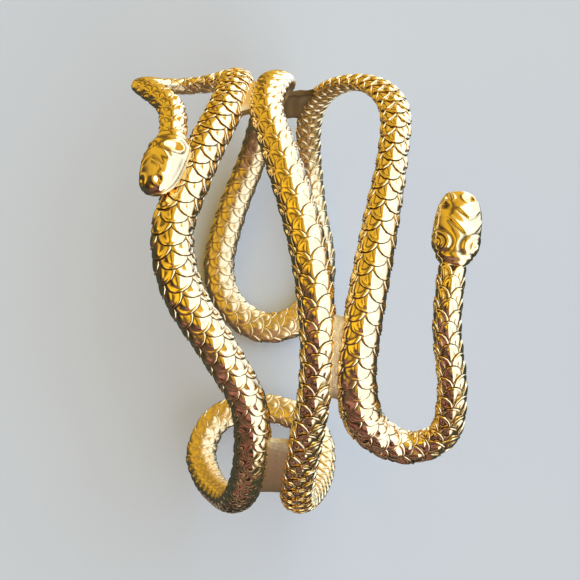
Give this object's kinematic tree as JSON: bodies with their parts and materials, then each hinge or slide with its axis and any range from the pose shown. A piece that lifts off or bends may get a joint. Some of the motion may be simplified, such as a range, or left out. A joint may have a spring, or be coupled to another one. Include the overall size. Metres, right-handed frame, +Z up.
{
  "type": "upper arm cuff",
  "caption": "Openwork upper arm cuff: one long scaled snake body winds up and down round the arm, with a small head at each end",
  "frame": {"origin": "Bottom centre of the bounding box, on the surface that the back of the cuff lies on.", "axes": "X runs along the arm. Y runs across it, from the bends at the bottom of the picture to those at its top. Z is up, from the back of the cuff to its front."},
  "size_m": [0.0568, 0.0796, 0.0746],
  "materials": {
    "gold": "polished gold plating"
  },
  "bodies": {
    "root": {"serpent_cuff": "gold"}
  },
  "joints": []
}
